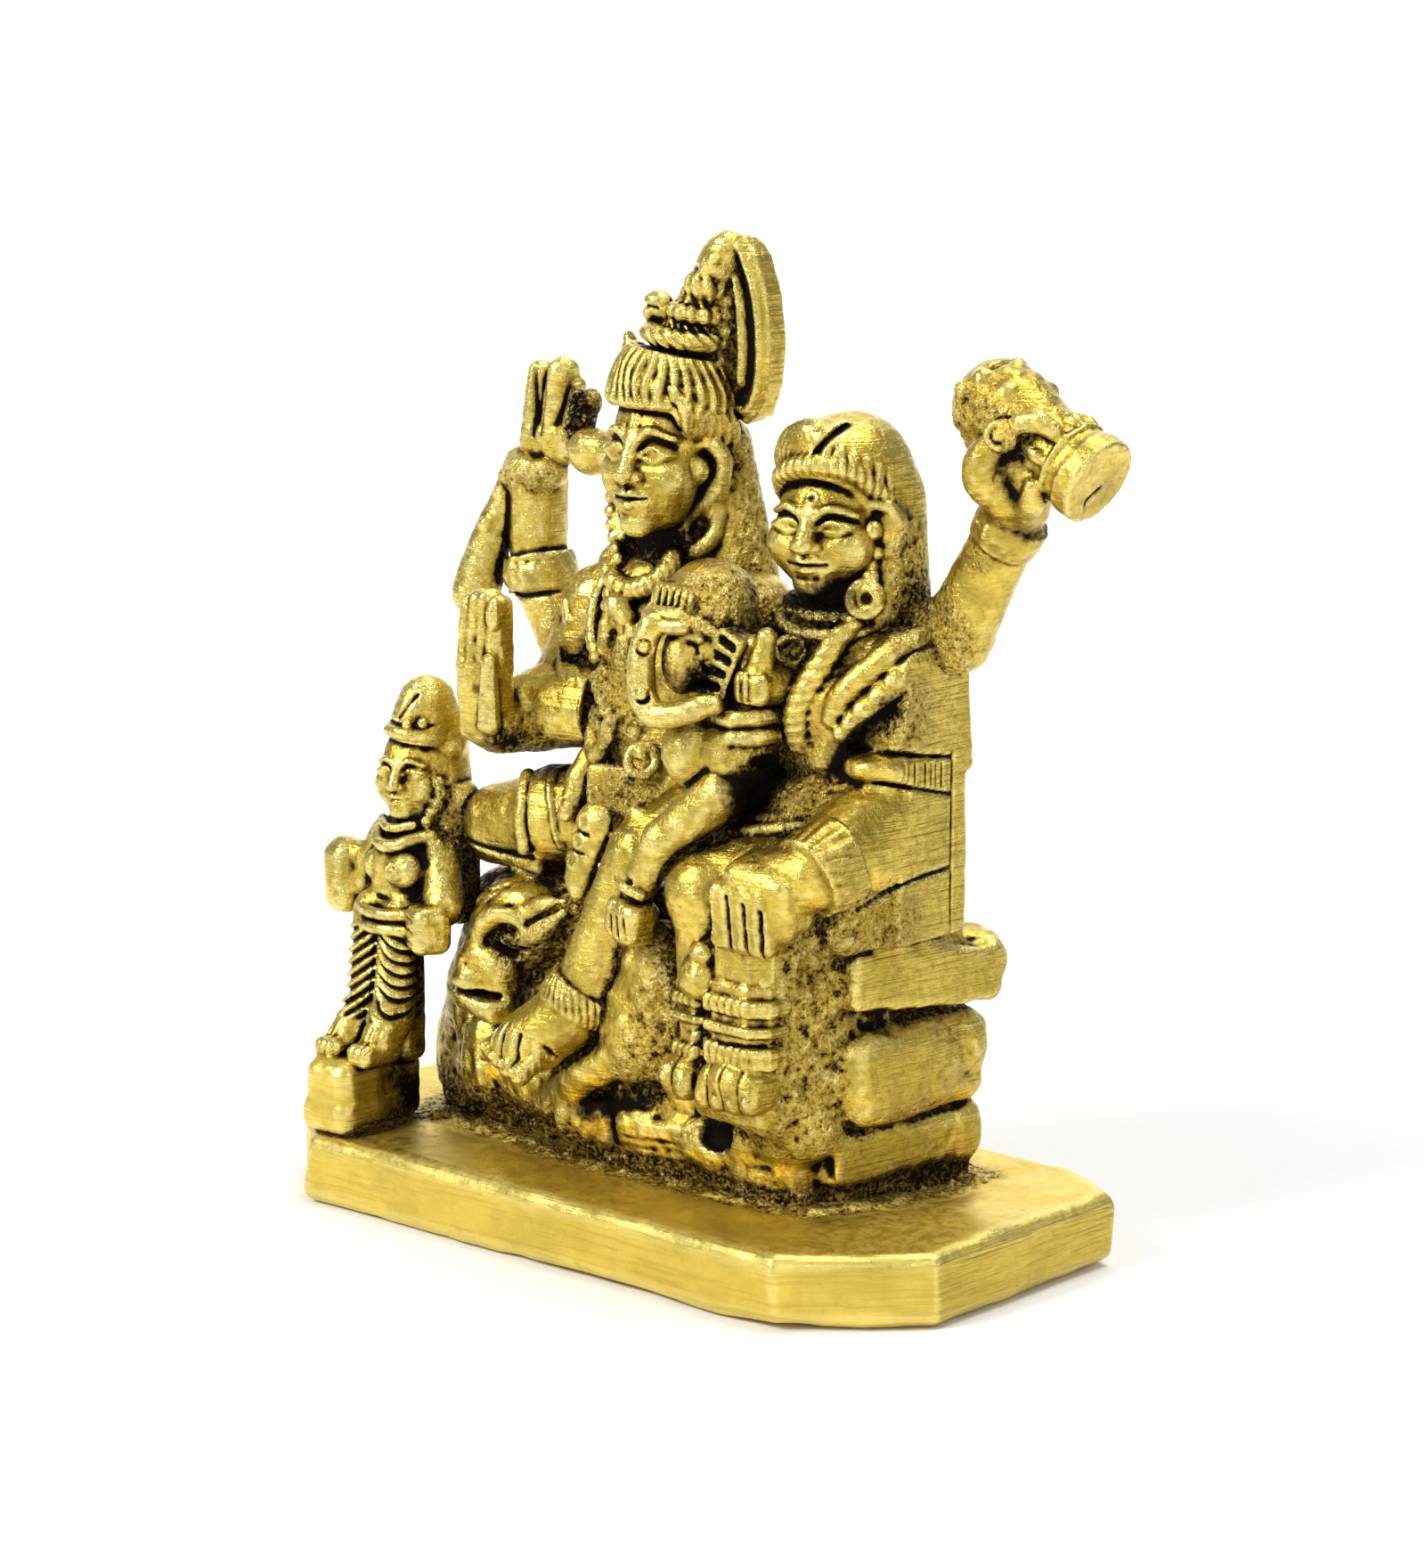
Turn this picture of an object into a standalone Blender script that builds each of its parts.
"""A small brass family group on a chamfered plate: a four-armed seated figure with a hand drum,
a consort beside it, an elephant-headed child on its lap, a bull under its knee and a small
standing attendant on a plinth at the plate's corner.

The object is in metres, +Z up. The origin is the centre of the plate's underside and the figures
face -Y. Shapes are given in millimetres and scaled once, when a node is made. Nodes are made from
the front of the group to its back: each one is cut clear of the nodes made before it, so that
neighbours meet with a small even gap.
"""

import math

import bmesh
import bpy
from mathutils import Euler, Matrix, Vector

MM = 0.001
GAP = 0.3

# Driving dimensions, in millimetres.
PLATE_WIDTH = 77.4
PLATE_DEPTH = 39.0
PLATE_THICKNESS = 6.5
PLATE_CHAMFER = 10.0
PLATE_BACK_CHAMFER = 4.5
PLATE_TAPER = 0.7
PLATE_EDGE = 0.5
FLOOR = PLATE_THICKNESS + GAP
BACK = 8.0
SEAT_BACK = 13.0

BALL_SEGMENTS, BALL_RINGS = 12, 8
LIMB_SIDES, LIMB_CAP_RINGS = 12, 3
TURN_SIDES = 20


# Shapes. Each returns a function that makes the shape's bmesh, grown outwards by a clearance.

def placed(bm, centre, scale, tilt):
    """Scales, tilts by degrees about X, Y and Z, and moves a shape made at the origin."""
    turn = Euler([math.radians(angle) for angle in tilt]).to_matrix().to_4x4()
    size = Matrix.Diagonal((*scale, 1.0))
    bm.transform(Matrix.Translation(centre) @ turn @ size)
    return bm


def ball(centre, radii, tilt=(0, 0, 0)):
    """An ellipsoid."""
    def make(grow):
        bm = bmesh.new()
        bmesh.ops.create_uvsphere(
            bm, u_segments=BALL_SEGMENTS, v_segments=BALL_RINGS, radius=1
        )
        return placed(bm, centre, [radius + grow for radius in radii], tilt)
    return make


def block(centre, size, rounding=0.8, tilt=(0, 0, 0)):
    """A box with bevelled edges."""
    def make(grow):
        bm = bmesh.new()
        bmesh.ops.create_cube(bm, size=1)
        placed(bm, (0, 0, 0), [side + 2 * grow for side in size], (0, 0, 0))
        bmesh.ops.bevel(
            bm, geom=bm.edges[:], offset=rounding, segments=1, affect="EDGES"
        )
        return placed(bm, centre, (1, 1, 1), tilt)
    return make


def rings_joined(rings):
    """A bmesh skinned over rings of points that all have the same count."""
    bm = bmesh.new()
    rows = [[bm.verts.new(point) for point in ring] for ring in rings]
    for low, high in zip(rows, rows[1:]):
        for i in range(len(low)):
            j = (i + 1) % len(low)
            bm.faces.new((low[i], low[j], high[j], high[i]))
    bm.faces.new(rows[0][::-1])
    bm.faces.new(rows[-1])
    bmesh.ops.recalc_face_normals(bm, faces=bm.faces)
    return bm


def turned(start, end, profile, sides=TURN_SIDES):
    """A solid of revolution from start to end. The profile holds (share of length, radius)."""
    start, end = Vector(start), Vector(end)
    axis = end - start
    turn = axis.to_track_quat("Z", "Y")

    def make(grow):
        last = len(profile) - 1
        rings = []
        for k, (share, radius) in enumerate(profile):
            along = share * axis.length + (grow if k == last else -grow if k == 0 else 0)
            rings.append([
                start + turn @ Vector((
                    (radius + grow) * math.cos(2 * math.pi * i / sides),
                    (radius + grow) * math.sin(2 * math.pi * i / sides),
                    along,
                ))
                for i in range(sides)
            ])
        return rings_joined(rings)
    return make


def limb(start, end, start_radius, end_radius, flat=1.0):
    """A tapered round-ended limb. flat narrows it across its length, front to back."""
    start, end = Vector(start), Vector(end)
    axis = end - start
    turn = axis.to_track_quat("Z", "Y")
    quarter = [
        (k + 0.5) / LIMB_CAP_RINGS * math.pi / 2 for k in range(LIMB_CAP_RINGS)
    ]

    def make(grow):
        low, high = start_radius + grow, end_radius + grow
        steps = [(-low * math.cos(a), low * math.sin(a)) for a in quarter]
        steps += [
            (axis.length + high * math.cos(a), high * math.sin(a))
            for a in reversed(quarter)
        ]
        rings = []
        for along, radius in steps:
            ring = []
            for i in range(LIMB_SIDES):
                angle = 2 * math.pi * i / LIMB_SIDES
                offset = turn @ Vector(
                    (radius * math.cos(angle), radius * math.sin(angle), along)
                )
                offset.y = axis.y * along / axis.length + flat * (
                    offset.y - axis.y * along / axis.length
                )
                ring.append(start + offset)
            rings.append(ring)
        return rings_joined(rings)
    return make


def upright_slab(outline, front, back, rounding=0.4):
    """A slab whose outline of (x, z) points stands upright, from the front y to the back y."""
    def make(grow):
        middle = Vector((
            sum(x for x, _ in outline) / len(outline),
            sum(z for _, z in outline) / len(outline),
        ))
        grown = [
            Vector(point) + (Vector(point) - middle).normalized() * grow
            for point in outline
        ]
        rings = [
            [(x, y, z) for x, z in grown] for y in (front - grow, back + grow)
        ]
        bm = rings_joined(rings)
        bmesh.ops.bevel(
            bm, geom=bm.edges[:], offset=rounding, segments=1, affect="EDGES"
        )
        return bm
    return make


# Making nodes.

def brass(name, colour, roughness):
    """A plain brass material."""
    material = bpy.data.materials.new(name)
    material.use_nodes = True
    shader = material.node_tree.nodes["Principled BSDF"]
    shader.inputs["Base Color"].default_value = (*colour, 1.0)
    shader.inputs["Metallic"].default_value = 1.0
    shader.inputs["Roughness"].default_value = roughness
    return material


def helper(shape, grow):
    """A hidden object that holds one shape, in millimetres."""
    bm = shape(grow)
    mesh = bpy.data.meshes.new("helper")
    bm.to_mesh(mesh)
    bm.free()
    obj = bpy.data.objects.new("helper", mesh)
    obj.hide_render = True
    obj.display_type = "WIRE"
    bpy.context.scene.collection.objects.link(obj)
    return obj


def bounds(points):
    """The lowest and the highest corner of some points."""
    low = Vector([min(point[k] for point in points) for k in range(3)])
    high = Vector([max(point[k] for point in points) for k in range(3)])
    return low, high


def meets(box_a, box_b, margin=2 * GAP):
    """Whether two boxes come within a margin of each other."""
    return all(
        box_a[0][k] < box_b[1][k] + margin and box_b[0][k] < box_a[1][k] + margin
        for k in range(3)
    )


def keep_largest_body(mesh):
    """Leaves only the largest of the separate bodies that a cut may leave."""
    bm = bmesh.new()
    bm.from_mesh(mesh)
    bmesh.ops.remove_doubles(bm, verts=bm.verts, dist=0.002)
    bmesh.ops.dissolve_degenerate(bm, edges=bm.edges, dist=0.002)
    bm.faces.ensure_lookup_table()
    unseen = set(bm.faces)
    bodies = []
    while unseen:
        front = [unseen.pop()]
        body = list(front)
        while front:
            face = front.pop()
            for edge in face.edges:
                for other in edge.link_faces:
                    if other in unseen:
                        unseen.remove(other)
                        front.append(other)
                        body.append(other)
        bodies.append(body)
    bodies.sort(key=lambda body: sum(face.calc_area() for face in body))
    for body in bodies[:-1]:
        bmesh.ops.delete(bm, geom=body, context="FACES")
    bm.to_mesh(mesh)
    bm.free()


class Casting:
    """The nodes made so far, each with its shapes and its box."""

    def __init__(self):
        self.made = []

    def add(self, name, material, *shapes, trim=()):
        """Joins the shapes, cuts off the trim shapes and the room of every earlier neighbour."""
        parts = [helper(shape, 0.0) for shape in shapes]
        body = parts[0]
        box = bounds([vertex.co for part in parts for vertex in part.data.vertices])
        cutters = [helper(shape, 0.0) for shape in trim]
        for other_shapes, other_box in self.made:
            if meets(box, other_box):
                cutters += [helper(shape, GAP) for shape in other_shapes]
        for operation, objects in (("UNION", parts[1:]), ("DIFFERENCE", cutters)):
            for obj in objects:
                modifier = body.modifiers.new(obj.name, "BOOLEAN")
                modifier.operation = operation
                modifier.solver = "EXACT"
                modifier.object = obj
        bpy.context.view_layer.update()
        graph = bpy.context.evaluated_depsgraph_get()
        mesh = bpy.data.meshes.new_from_object(body.evaluated_get(graph))
        keep_largest_body(mesh)
        for obj in parts + cutters:
            bpy.data.objects.remove(obj)
        self.made.append((shapes, box))
        finish_node(name, mesh, material)


def finish_node(name, mesh, material):
    """Scales a mesh to metres and puts it in the scene as a node."""
    mesh.transform(Matrix.Scale(MM, 4))
    mesh.materials.clear()
    mesh.materials.append(material)
    mesh.shade_smooth()
    mesh.set_sharp_from_angle(angle=math.radians(40))
    obj = bpy.data.objects.new(name, mesh)
    bpy.context.scene.collection.objects.link(obj)


# The object, part by part.

def base_plate(material):
    """An oblong plate with cut corners, a little narrower at its top, with broken edges."""
    def outline(inset):
        x, y = PLATE_WIDTH / 2 - inset, PLATE_DEPTH / 2 - inset
        front, back = PLATE_CHAMFER, PLATE_BACK_CHAMFER
        return [
            (front - x, -y), (x - front, -y), (x, front - y), (x, y - back),
            (x - 1.8 * back, y), (1.8 * back - x, y), (-x, y - back), (-x, front - y),
        ]

    bottom = [(x, y, 0.0) for x, y in outline(0.0)]
    top = [(x, y, PLATE_THICKNESS) for x, y in outline(PLATE_TAPER)]
    bm = rings_joined([bottom, top])
    rim = [e for e in bm.edges if all(v.co.z > PLATE_THICKNESS / 2 for v in e.verts)]
    bmesh.ops.bevel(bm, geom=rim, offset=PLATE_EDGE, segments=2, affect="EDGES")
    mesh = bpy.data.meshes.new("base_plate")
    bm.to_mesh(mesh)
    bm.free()
    finish_node("base_plate", mesh, material)


def behind(plane, low=0.0, high=95.0):
    """A wide block that starts at a y plane, for trimming a flat back."""
    return block((0, plane + 20, (low + high) / 2), (120, 40, high - low), 0.1)


def attendant(group, material, plinth_material):
    """The small standing figure on its own plinth, at the plate's front left corner."""
    group.add(
        "attendant_plinth", plinth_material,
        block((-27.3, -13.8, FLOOR + 3.2), (7.4, 10.4, 6.4), 1.4),
    )
    group.add(
        "attendant_crown", material,
        turned((-26.1, -6.8, 41.8), (-25.7, -6.2, 47.6), [
            (0.0, 3.6), (0.22, 3.5), (0.3, 3.1), (0.75, 2.4), (1.0, 0.9),
        ]),
    )
    group.add(
        "attendant_head", material,
        ball((-26.6, -7.2, 38.0), (3.9, 4.3, 4.8)),
        limb((-27.0, -7.0, 32.5), (-26.8, -7.0, 35.5), 3.0, 2.6),
    )
    group.add(
        "attendant_legs", material,
        limb((-28.0, -14.2, 15.6), (-28.8, -9.6, 26.5), 2.3, 2.9),
        limb((-24.6, -14.2, 15.6), (-24.8, -9.6, 26.5), 2.3, 2.9),
        block((-26.4, -14.2, 14.7), (7.4, 5.6, 2.6), 0.9),
        block((-26.2, -9.8, 20.0), (5.8, 4.6, 12.0), 0.9, tilt=(-24, 0, 0)),
    )
    group.add(
        "attendant_body", material,
        ball((-26.8, -7.4, 30.0), (4.9, 4.6, 5.8)),
        limb((-25.8, -3.4, 38.0), (-26.2, -5.6, 27.0), 4.0, 3.9, flat=0.7),
        block((-35.0, -8.8, 28.6), (4.6, 3.8, 7.0), 1.2, tilt=(0, -6, 0)),
        limb((-30.5, -7.8, 30.6), (-34.4, -8.6, 28.8), 2.1, 2.1),
        ball((-21.8, -10.6, 26.6), (2.9, 2.8, 3.4)),
        limb((-22.6, -6.2, 31.6), (-21.6, -9.0, 27.2), 2.5, 2.4),
    )


def leading_figure_head(group, material):
    """The head with its swept-up hair, tiered crown, long loop and ear ornaments."""
    group.add(
        "leader_head", material,
        ball((-2.5, 1.6, 67.6), (5.0, 6.2, 6.6)),
        ball((-2.5, 0.4, 64.6), (3.6, 4.6, 3.4)),
        limb((-2.5, 2.6, 57.5), (-2.5, 2.6, 63.0), 3.6, 3.4),
        block((-1.8, 5.4, 65.5), (9.0, 4.6, 15.0), 1.2),
        trim=(behind(BACK),),
    )
    group.add(
        "leader_left_earring", material,
        limb((3.4, 2.8, 67.6), (3.8, 2.8, 62.4), 1.7, 2.0),
    )
    group.add(
        "leader_right_earring", material,
        limb((-8.8, 2.6, 69.2), (-13.8, 3.0, 69.0), 1.8, 2.6),
    )
    group.add(
        "leader_hair", material,
        turned((-2.5, 2.0, 72.9), (-2.3, 2.4, 80.0), [
            (0.0, 6.0), (0.12, 6.6), (0.5, 6.1), (0.9, 5.0), (1.0, 4.2),
        ]),
        limb((-7.0, 2.6, 78.2), (-7.0, 2.8, 79.6), 1.5, 1.4),
        trim=(behind(BACK),),
    )
    group.add(
        "leader_crown", material,
        turned((-2.3, 2.6, 80.0), (2.2, 5.2, 89.7), [
            (0.0, 3.4), (0.06, 3.8), (0.22, 3.7), (0.26, 2.9), (0.42, 3.0),
            (0.46, 2.2), (0.62, 2.4), (0.68, 1.9), (0.9, 1.8), (1.0, 0.9),
        ]),
        limb((-4.8, 2.4, 83.2), (-1.6, 3.0, 82.6), 1.7, 1.2),
        trim=(behind(BACK),),
    )
    group.add(
        "crown_loop", material,
        upright_slab([
            (0.6, 74.6), (2.6, 72.8), (5.0, 74.0), (6.2, 77.0), (5.6, 82.4),
            (4.2, 88.0), (2.6, 89.8), (0.9, 89.4), (-0.2, 86.0), (-0.6, 80.0),
        ], 4.6, BACK),
    )


def leading_figure_arms(group, material):
    """The four arms: a raised palm, a rear hand with a trident and a rear hand with a drum."""
    group.add(
        "leader_raised_palm", material,
        block((-14.4, -8.8, 53.2), (5.0, 3.2, 10.2), 1.3, tilt=(6, 4, 0)),
        limb((-12.4, -10.0, 48.5), (-12.4, -10.4, 52.4), 1.2, 1.0),
    )
    group.add(
        "leader_front_right_arm", material,
        limb((-17.0, -1.6, 44.6), (-14.8, -7.6, 46.4), 3.3, 2.8),
        limb((-12.8, 3.2, 55.0), (-16.0, 1.4, 45.6), 3.7, 3.7),
    )
    group.add(
        "trident_head", material,
        limb((-21.6, 4.8, 70.4), (-21.2, 4.8, 76.0), 1.7, 1.4),
        limb((-19.0, 4.8, 70.4), (-17.9, 4.8, 76.4), 1.8, 1.5),
        limb((-17.0, 4.8, 70.6), (-15.0, 4.8, 73.8), 1.6, 1.3),
        block((-19.2, 4.8, 70.6), (7.4, 3.4, 4.0), 1.0),
    )
    group.add(
        "trident_shaft", material,
        limb((-24.2, 3.8, 65.0), (-28.4, 2.6, 54.6), 1.8, 2.1),
    )
    group.add(
        "leader_rear_right_arm", material,
        limb((-17.6, 5.0, 48.6), (-21.4, 5.0, 55.0), 2.7, 2.5),
        turned((-21.2, 5.0, 54.8), (-22.0, 5.0, 58.4), [
            (0.0, 3.1), (0.2, 3.4), (0.8, 3.5), (1.0, 3.2),
        ], sides=14),
        limb((-22.4, 5.0, 58.0), (-20.9, 5.0, 67.2), 2.7, 2.4),
    )
    group.add(
        "damaru_drum", material,
        turned((30.2, 4.0, 77.4), (43.6, 4.0, 70.4), [
            (0.0, 2.6), (0.06, 3.6), (0.22, 4.1), (0.36, 3.7), (0.52, 2.9),
            (0.66, 3.1), (0.84, 3.5), (0.92, 3.8), (1.0, 3.5),
        ], sides=18),
    )
    group.add(
        "drum_hand", material,
        ball((36.0, 3.0, 71.4), (3.1, 3.9, 4.4), tilt=(0, 28, 0)),
    )
    group.add(
        "leader_rear_left_arm", material,
        limb((8.0, 5.2, 54.6), (28.0, 5.2, 55.8), 2.9, 2.9),
        limb((28.6, 5.0, 56.4), (33.0, 5.0, 64.6), 3.0, 2.6),
        turned((33.4, 5.0, 65.0), (34.6, 4.9, 67.4), [
            (0.0, 2.9), (0.15, 3.2), (0.85, 3.2), (1.0, 2.9),
        ], sides=14),
        trim=(behind(BACK),),
    )


def child_figure(group, material):
    """The elephant-headed child that stands on the leader's lap."""
    group.add(
        "child_trunk", material,
        limb((8.3, -11.2, 56.6), (8.3, -12.0, 51.0), 1.6, 1.5),
        limb((8.3, -12.0, 51.0), (12.6, -11.6, 49.6), 1.5, 1.2),
    )
    group.add(
        "child_ear", material,
        block((13.2, -6.8, 53.4), (3.2, 1.8, 6.2), 0.5, tilt=(0, 18, 0)),
    )
    group.add(
        "child_head", material,
        ball((9.4, -7.4, 55.6), (3.6, 3.6, 3.8)),
        block((9.6, -8.4, 59.6), (5.4, 3.6, 4.2), 0.9),
    )
    group.add(
        "child_leg", material,
        block((6.9, -11.6, 31.8), (4.2, 4.0, 3.6), 1.0),
        limb((13.0, -8.6, 43.0), (9.6, -10.4, 38.0), 2.7, 2.2),
        limb((9.6, -10.4, 38.0), (7.8, -10.8, 34.6), 2.0, 1.6),
    )
    group.add(
        "child_body", material,
        ball((12.6, -8.6, 47.4), (4.1, 4.4, 4.2)),
        ball((10.4, -6.6, 50.0), (3.6, 3.6, 3.4)),
    )


def consort_head(group, material):
    """The consort's head with its headband, veil and ear disc."""
    group.add(
        "consort_head", material,
        ball((18.6, 1.4, 66.2), (4.9, 6.0, 6.0)),
        ball((18.6, 0.2, 63.6), (3.7, 4.4, 3.6)),
        limb((18.8, 2.2, 58.0), (18.6, 2.2, 62.0), 3.4, 3.2),
        trim=(behind(BACK),),
    )
    group.add(
        "consort_veil", material,
        ball((18.6, 2.6, 69.4), (5.6, 5.3, 5.7)),
        limb((20.4, 4.6, 67.0), (23.6, 4.6, 58.0), 3.2, 3.6),
        block((17.6, 6.2, 63.0), (9.0, 3.4, 12.0), 1.0),
        turned((22.4, -0.6, 60.4), (22.8, 3.0, 60.4), [(0.0, 2.0), (1.0, 2.2)], sides=14),
        trim=(behind(BACK),),
    )
    group.add(
        "consort_headband", material,
        turned((18.6, 1.8, 70.2), (18.6, 2.2, 72.2), [
            (0.0, 6.2), (0.3, 6.6), (0.7, 6.5), (1.0, 6.0),
        ]),
        trim=(behind(4.0, 60, 80),),
    )


def consort_body(group, material):
    """The consort's arms, hands, lap, shins, anklets and feet."""
    group.add(
        "consort_right_hand", material,
        block((16.6, -7.4, 53.0), (4.0, 3.6, 5.6), 1.1),
        limb((16.2, -5.4, 49.6), (17.4, -4.6, 49.2), 2.0, 1.8),
    )
    group.add(
        "consort_left_hand", material,
        block((21.0, -11.4, 35.4), (7.4, 7.6, 7.6), 1.8, tilt=(14, 6, 0)),
    )
    group.add(
        "consort_left_forearm", material,
        turned((24.6, -8.4, 38.2), (25.2, -5.0, 39.8), [
            (0.0, 3.5), (0.3, 3.8), (1.0, 3.9),
        ], sides=14),
        limb((25.2, -4.2, 40.2), (25.2, 0.5, 42.0), 3.5, 3.7),
    )
    group.add(
        "consort_armband", material,
        block((25.4, 1.2, 45.6), (6.0, 11.0, 3.0), 0.5, tilt=(6, 0, 0)),
    )
    group.add(
        "consort_upper_arm", material,
        block((25.2, 2.4, 51.8), (7.2, 9.6, 9.2), 2.2),
        limb((25.0, 2.8, 54.6), (25.6, 2.8, 48.0), 3.8, 3.4),
        trim=(behind(BACK),),
    )
    group.add(
        "consort_side_panel", material,
        block((25.2, 2.2, 36.6), (5.6, 11.2, 13.6), 0.8),
        trim=(behind(BACK),),
    )
    for side, x, width in (("right", 12.4, 3.6), ("left", 18.0, 7.4)):
        group.add(
            f"consort_{side}_foot", material,
            block((x, -11.8, 17.8), (width + 0.6, 7.6, 4.4), 1.3),
        )
        group.add(
            f"consort_{side}_shin", material,
            block((x, -9.8, 23.4), (width + 0.4, 6.6, 6.0), 1.2),
            limb((x + 0.6, -9.8, 33.4), (x, -9.8, 24.0), 4.0, 0.5 * width),
        )
    group.add(
        "consort_torso", material,
        ball((20.2, 1.6, 51.0), (7.6, 6.6, 8.0)),
        ball((19.6, 0.6, 42.0), (7.6, 6.6, 5.6)),
        block((19.6, 4.6, 45.0), (9.0, 6.4, 18.0), 1.2),
        trim=(behind(BACK),),
    )
    group.add(
        "consort_lap", material,
        ball((18.8, -2.4, 33.4), (7.6, 8.4, 4.8)),
    )


def leading_figure_body(group, material):
    """The leader's legs, sash and torso."""
    group.add(
        "leader_left_foot", material,
        limb((-2.2, -9.9, 18.8), (-5.4, -12.6, 17.3), 3.2, 3.1),
        block((-5.6, -12.9, 16.7), (5.6, 4.6, 3.4), 1.2, tilt=(0, 0, -30)),
    )
    group.add(
        "medallion_sash", material,
        limb((-1.9, -8.2, 37.7), (-3.7, -9.0, 32.6), 2.0, 1.7, flat=0.6),
    )
    group.add(
        "leader_left_shin", material,
        limb((6.4, -8.2, 36.8), (0.0, -9.6, 23.6), 3.0, 2.6),
        turned((-1.2, -10.0, 21.8), (-0.2, -9.6, 24.0), [
            (0.0, 3.0), (0.3, 3.3), (0.7, 3.3), (1.0, 3.0),
        ], sides=14),
    )
    group.add(
        "leader_right_leg", material,
        limb((-5.4, -1.0, 36.6), (-12.4, -2.4, 35.6), 5.3, 4.7),
        limb((-12.4, -2.4, 35.6), (-19.2, -3.2, 34.0), 4.4, 3.6),
    )
    group.add(
        "leader_torso", material,
        ball((-2.4, 2.4, 52.4), (10.2, 6.4, 7.6)),
        ball((-1.8, 1.6, 43.6), (8.4, 6.6, 8.4)),
        ball((1.0, 0.4, 37.6), (8.0, 7.4, 4.6)),
        block((-1.0, 5.0, 46.0), (13.0, 6.0, 20.0), 1.4),
        trim=(behind(BACK),),
    )


def bull_and_rocks(group, bull_material, rock_material):
    """The bull's head, body and foreleg, and the stacked rocks that carry the figures."""
    group.add(
        "bull_muzzle", bull_material,
        limb((-15.2, -7.8, 22.6), (-16.2, -8.4, 20.6), 3.5, 2.9),
    )
    group.add(
        "bull_head", bull_material,
        ball((-13.2, -5.8, 26.2), (4.8, 4.4, 4.6), tilt=(0, 20, 0)),
        limb((-10.2, -7.2, 25.8), (-6.6, -7.4, 28.4), 1.5, 0.8),
    )
    group.add(
        "bull_foreleg", bull_material,
        limb((7.4, -8.6, 19.0), (3.4, -9.0, 14.2), 2.4, 2.3),
        block((2.2, -9.4, 11.2), (5.6, 4.6, 3.6), 1.0),
    )
    group.add(
        "rock_top_slab", rock_material,
        block((19.8, 2.2, 26.0), (17.4, 21.0, 5.8), 1.2, tilt=(-5, 0, -8)),
        trim=(behind(SEAT_BACK),),
    )
    group.add(
        "rock_boulder", rock_material,
        ball((18.4, 1.8, 18.0), (9.4, 10.6, 5.4)),
        block((20.4, 4.2, 18.0), (12.0, 17.0, 7.6), 2.4),
        trim=(behind(SEAT_BACK),),
    )
    group.add(
        "rock_lower_slab", rock_material,
        block((19.6, 3.2, FLOOR + 3.0), (12.8, 19.4, 6.0), 1.4),
    )
    group.add(
        "rock_ledge", rock_material,
        block((15.0, -8.2, FLOOR + 3.6), (12.4, 5.6, 7.2), 1.6),
    )
    group.add(
        "bull_body", bull_material,
        ball((-13.2, 1.0, 19.0), (9.6, 8.6, 10.0)),
        limb((-20.0, 0.0, 26.0), (-24.2, -1.0, 12.2), 4.6, 5.0),
        block((-15.2, 0.8, FLOOR + 4.0), (24.4, 15.0, 8.0), 3.0),
        trim=(behind(SEAT_BACK - 2),),
    )
    group.add(
        "rock_seat", rock_material,
        block((4.2, 2.0, FLOOR + 12.2), (23.0, 17.0, 24.4), 1.6),
        trim=(behind(SEAT_BACK - 2),),
    )


def main():
    for obj in list(bpy.data.objects):
        bpy.data.objects.remove(obj)
    filed = brass("filed_brass", (0.72, 0.55, 0.17), 0.34)
    carved = brass("carved_brass", (0.66, 0.48, 0.14), 0.38)
    rough = brass("rough_brass", (0.5, 0.35, 0.11), 0.5)
    base_plate(filed)
    group = Casting()
    attendant(group, carved, filed)
    leading_figure_head(group, carved)
    leading_figure_arms(group, carved)
    child_figure(group, carved)
    consort_head(group, carved)
    consort_body(group, carved)
    leading_figure_body(group, carved)
    bull_and_rocks(group, carved, rough)


main()
